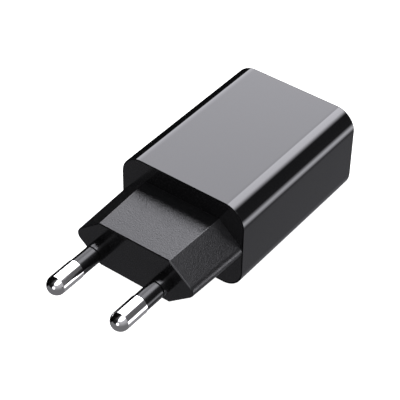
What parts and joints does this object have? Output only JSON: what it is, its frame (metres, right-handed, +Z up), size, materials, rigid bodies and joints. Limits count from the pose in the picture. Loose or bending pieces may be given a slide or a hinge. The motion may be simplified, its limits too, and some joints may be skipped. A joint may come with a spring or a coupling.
{
  "type": "usb wall charger",
  "caption": "Compact wall charger with two fixed round pins on a six-sided plug block and a USB-A socket in the far end of its rounded body.",
  "frame": {"origin": "centre of the outline on the surface that the charger lies on, its broad underside", "axes": "+X across the width, +Y from the pins towards the USB socket, +Z up, out of the top broad face"},
  "size_m": [0.0366, 0.0856, 0.0252],
  "materials": {
    "black_gloss_plastic": "polished",
    "black_textured_plastic": "fine spark-eroded texture",
    "nickel_plated_pin": "polished nickel plate over brass",
    "black_sleeve_plastic": "smooth",
    "spring_brass": "rolled sheet",
    "glass_epoxy_board": "solder mask",
    "port_steel": "tin plated sheet",
    "white_nylon": "moulded",
    "gold_plated_contact": "gold plated",
    "capacitor_aluminium": "drawn can",
    "printed_film": "shrink film",
    "black_rubber": "moulded",
    "tinned_wire": "tin plate",
    "yellow_tape": "polyester tape",
    "ferrite": "sintered",
    "bobbin_resin": "moulded",
    "enamelled_copper": "enamelled winding wire",
    "grey_coating": "lacquered",
    "blue_epoxy": "dipped",
    "chip_ceramic": "sintered",
    "black_moulding_resin": "moulded"
  },
  "bodies": {
    "root": {"bridge_rectifier": "black_moulding_resin", "chip_capacitor": "chip_ceramic", "chip_resistor_1": "black_moulding_resin", "chip_resistor_2": "black_moulding_resin", "circuit_board": "glass_epoxy_board", "contact_strip_left": "spring_brass", "contact_strip_right": "spring_brass", "controller_chip": "black_moulding_resin", "core_tape": "yellow_tape", "filter_choke_drum": "ferrite", "filter_choke_winding": "enamelled_copper", "front_cover": "black_textured_plastic", "fusible_resistor_body": "grey_coating", "fusible_resistor_lead_left": "tinned_wire", "fusible_resistor_lead_right": "tinned_wire", "housing_shell": "black_gloss_plastic", "input_capacitor_1_bung": "black_rubber", "input_capacitor_1_can": "capacitor_aluminium", "input_capacitor_1_film": "printed_film", "input_capacitor_1_lead_1": "tinned_wire", "input_capacitor_1_lead_2": "tinned_wire", "input_capacitor_2_bung": "black_rubber", "input_capacitor_2_can": "capacitor_aluminium", "input_capacitor_2_film": "printed_film", "input_capacitor_2_lead_1": "tinned_wire", "input_capacitor_2_lead_2": "tinned_wire", "output_capacitor_bung": "black_rubber", "output_capacitor_can": "capacitor_aluminium", "output_capacitor_film": "printed_film", "output_capacitor_lead_1": "tinned_wire", "output_capacitor_lead_2": "tinned_wire", "output_diode": "black_moulding_resin", "pin_left": "nickel_plated_pin", "pin_right": "nickel_plated_pin", "pin_sleeve_left": "black_sleeve_plastic", "pin_sleeve_right": "black_sleeve_plastic", "primary_winding": "enamelled_copper", "safety_capacitor_disc": "blue_epoxy", "safety_capacitor_lead_1": "tinned_wire", "safety_capacitor_lead_2": "tinned_wire", "secondary_winding": "enamelled_copper", "transformer_bobbin": "bobbin_resin", "transformer_core_left": "ferrite", "transformer_core_right": "ferrite", "transformer_terminal_1": "tinned_wire", "transformer_terminal_2": "tinned_wire", "transformer_terminal_3": "tinned_wire", "transformer_terminal_4": "tinned_wire", "transformer_terminal_5": "tinned_wire", "transformer_terminal_6": "tinned_wire", "usb_contact_1": "gold_plated_contact", "usb_contact_2": "gold_plated_contact", "usb_contact_3": "gold_plated_contact", "usb_contact_4": "gold_plated_contact", "usb_insulator": "white_nylon", "usb_shell": "port_steel", "winding_tape": "yellow_tape"}
  },
  "joints": []
}
